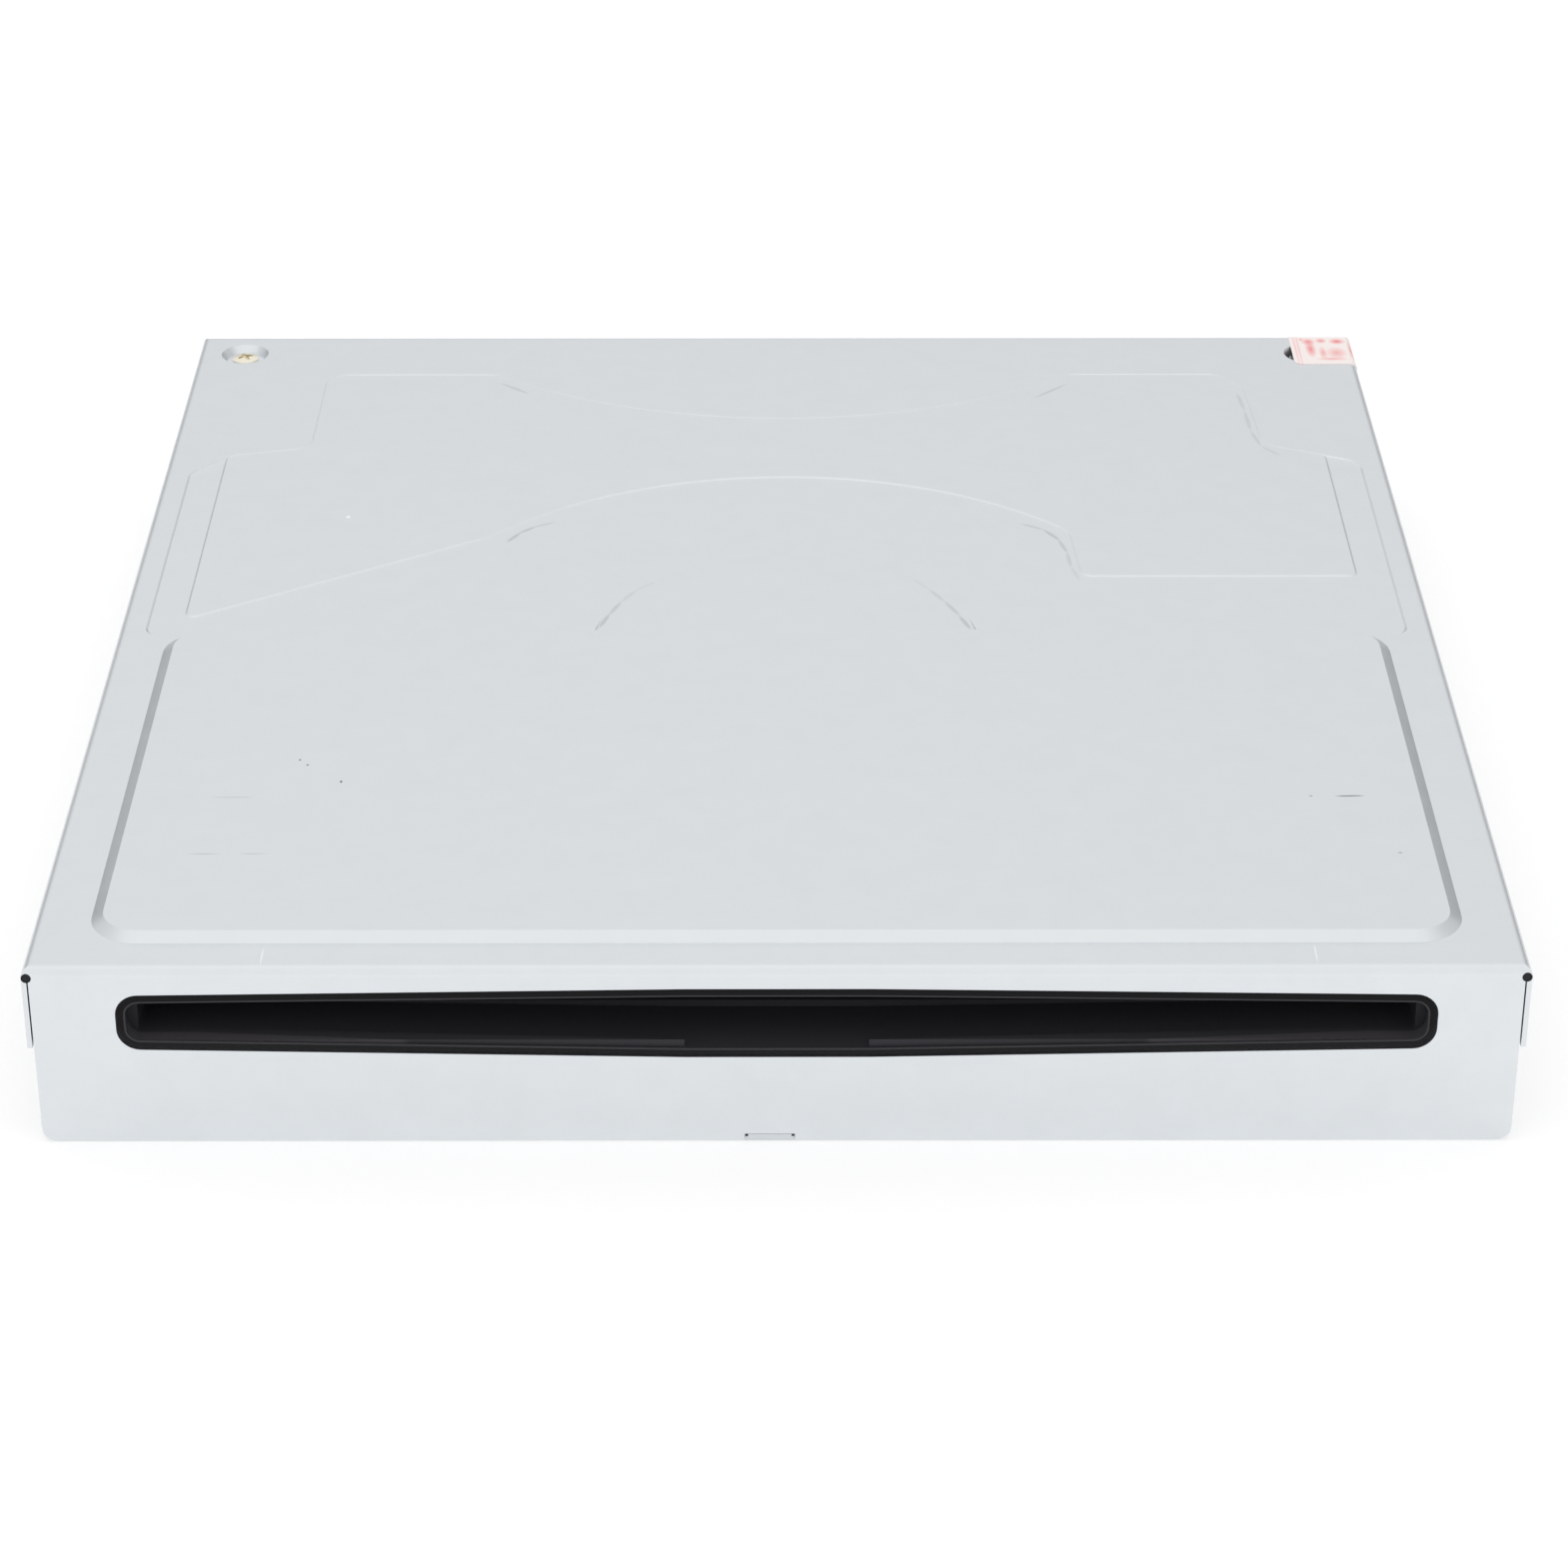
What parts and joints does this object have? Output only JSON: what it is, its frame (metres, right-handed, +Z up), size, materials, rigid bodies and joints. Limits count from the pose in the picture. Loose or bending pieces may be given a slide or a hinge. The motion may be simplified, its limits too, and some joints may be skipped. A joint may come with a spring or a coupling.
{
  "type": "console disc drive",
  "caption": "Flat slot-loading optical disc drive of a games console: folded steel case, pressed lid, bowed disc slot and a roller, lift and pickup mechanism.",
  "frame": {"origin": "middle of the case's underside", "axes": "+X to the right seen from the slot, +Y to the back, +Z up"},
  "size_m": [0.1461, 0.1543, 0.0207],
  "materials": {
    "galvanised_steel": "zinc-coated sheet, dull satin",
    "chassis_steel": "zinc-coated sheet, dull satin",
    "black_plastic": "moulded, fine matt",
    "dark_plastic": "moulded, glass-filled",
    "white_plastic": "moulded acetal",
    "felt": "pressed felt",
    "screw_steel": "yellow passivated",
    "bright_steel": "ground",
    "seal_film": "printed film",
    "rubber": "moulded",
    "magnet": "sintered",
    "board": "solder mask",
    "chip": "moulded",
    "die_cast": "die-cast",
    "lens": "coated",
    "motor_case": "drawn can",
    "copper": "wound"
  },
  "bodies": {
    "housing": {"top_cover": "galvanised_steel", "bottom_chassis": "chassis_steel", "slot_bezel": "black_plastic", "upper_felt": "felt", "lower_felt": "felt", "cover_screw_left": "screw_steel", "cover_screw_right": "screw_steel", "tamper_seal": "seal_film", "upper_guide": "dark_plastic", "guide_screws": "bright_steel", "lever_screws": "bright_steel", "loader_base": "dark_plastic", "base_screws": "bright_steel", "drive_belt": "rubber", "feed_motor": "motor_case", "cam_bridge": "bright_steel", "cam_motor": "motor_case", "hinge_block_left": "dark_plastic", "hinge_block_right": "dark_plastic", "hinge_bush_left": "rubber", "hinge_bush_right": "rubber", "circuit_board": "board", "board_screws": "bright_steel", "board_chips": "chip", "ribbon_connector": "white_plastic", "power_connector": "white_plastic"},
    "clamper": {"clamp_puck": "white_plastic", "clamp_magnet": "magnet"},
    "left_lever": {"disc_lever_left": "white_plastic", "lever_sleeve_left": "rubber"},
    "right_lever": {"disc_lever_right": "white_plastic", "lever_sleeve_right": "rubber"},
    "motor_drive": {"motor_pulley": "white_plastic", "motor_shaft": "bright_steel"},
    "arm": {"roller_arm": "white_plastic"},
    "arm_pulley": {"pulley_gear": "white_plastic"},
    "feed_roller": {"roller_shaft": "bright_steel", "roller_sleeve_left": "rubber", "roller_sleeve_right": "rubber", "roller_gear": "white_plastic"},
    "slider": {"cam_slider": "white_plastic"},
    "cam_train": {"cam_gear": "white_plastic"},
    "cam_motor_drive": {"cam_motor_gear": "white_plastic"},
    "lift": {"lift_frame": "dark_plastic", "guide_rod_left": "bright_steel", "guide_rod_right": "bright_steel", "spindle_plate": "bright_steel", "spindle_stator": "copper", "sled_motor": "motor_case"},
    "spindle": {"spindle_rotor": "bright_steel", "spindle_shaft": "bright_steel", "turntable": "white_plastic", "turntable_pad": "rubber"},
    "sled": {"pickup_sled": "die_cast", "lens_holder": "black_plastic", "pickup_lens": "lens"},
    "lead": {"lead_screw": "bright_steel"}
  },
  "joints": [
    {"name": "puck_spin", "type": "hinge", "parent": "housing", "child": "clamper", "pos_m": [0, -0.0091, 0.017], "axis": [0, 0, 1], "continuous": true},
    {"name": "left_lever_swing", "type": "hinge", "parent": "housing", "child": "left_lever", "pos_m": [-0.058, 0.0409, 0.016], "axis": [0, 0, 1], "range_deg": [0, 31.2], "stiffness_Nm_per_rad": 0.002, "springref_deg": -17.19},
    {"name": "right_lever_swing", "type": "hinge", "parent": "housing", "child": "right_lever", "pos_m": [0.058, 0.0409, 0.016], "axis": [0, 0, -1], "range_deg": [0, 31.2], "stiffness_Nm_per_rad": 0.002, "springref_deg": -17.19},
    {"name": "motor_spin", "type": "hinge", "parent": "housing", "child": "motor_drive", "pos_m": [0.066, -0.0377, 0.0065], "axis": [1, 0, 0], "continuous": true},
    {"name": "cam_slide", "type": "slide", "parent": "housing", "child": "slider", "axis": [-1, 0, 0], "range_m": [0, 0.01]},
    {"name": "arm_swing", "type": "hinge", "parent": "housing", "child": "arm", "pos_m": [0, -0.0531, 0.0065], "axis": [1, 0, 0], "range_deg": [0, 23.25]},
    {"name": "arm_pulley_spin", "type": "hinge", "parent": "arm", "child": "arm_pulley", "pos_m": [0.064, -0.0531, 0.0065], "axis": [1, 0, 0], "continuous": true},
    {"name": "roller_spin", "type": "hinge", "parent": "arm", "child": "feed_roller", "pos_m": [0, -0.06021, 0.0089], "axis": [1, 0, 0], "continuous": true},
    {"name": "cam_gear_spin", "type": "hinge", "parent": "housing", "child": "cam_train", "pos_m": [-0.025, -0.0437, 0.003], "axis": [0, 0, 1], "continuous": true},
    {"name": "cam_motor_spin", "type": "hinge", "parent": "housing", "child": "cam_motor_drive", "pos_m": [-0.033, -0.0437, 0.004], "axis": [0, 0, 1], "continuous": true},
    {"name": "lift_swing", "type": "hinge", "parent": "housing", "child": "lift", "pos_m": [0, 0.0629, 0.006], "axis": [-1, 0, 0], "range_deg": [0, 2.63]},
    {"name": "spindle_spin", "type": "hinge", "parent": "lift", "child": "spindle", "pos_m": [0, -0.00912, 0.0047], "axis": [0, -0.0458, 0.9989], "continuous": true},
    {"name": "sled_slide", "type": "slide", "parent": "lift", "child": "sled", "axis": [0, 0.9989, 0.0458], "range_m": [0, 0.032]},
    {"name": "lead_spin", "type": "hinge", "parent": "lift", "child": "lead", "pos_m": [0.031, 0.02276, 0.00816], "axis": [0, 0.9989, 0.0458], "continuous": true}
  ],
  "couplings": [
    {"joint": "arm_pulley_spin", "follows": "motor_spin", "ratio": 0.47059},
    {"joint": "roller_spin", "follows": "motor_spin", "ratio": -0.47059},
    {"joint": "arm_swing", "follows": "cam_slide", "rad_per_m": 40.581},
    {"joint": "lift_swing", "follows": "cam_slide", "rad_per_m": 4.5849},
    {"joint": "cam_gear_spin", "follows": "cam_slide", "rad_per_m": 333.33},
    {"joint": "cam_motor_spin", "follows": "cam_slide", "rad_per_m": -1000},
    {"joint": "lead_spin", "follows": "sled_slide", "rad_per_m": 3141.6}
  ]
}
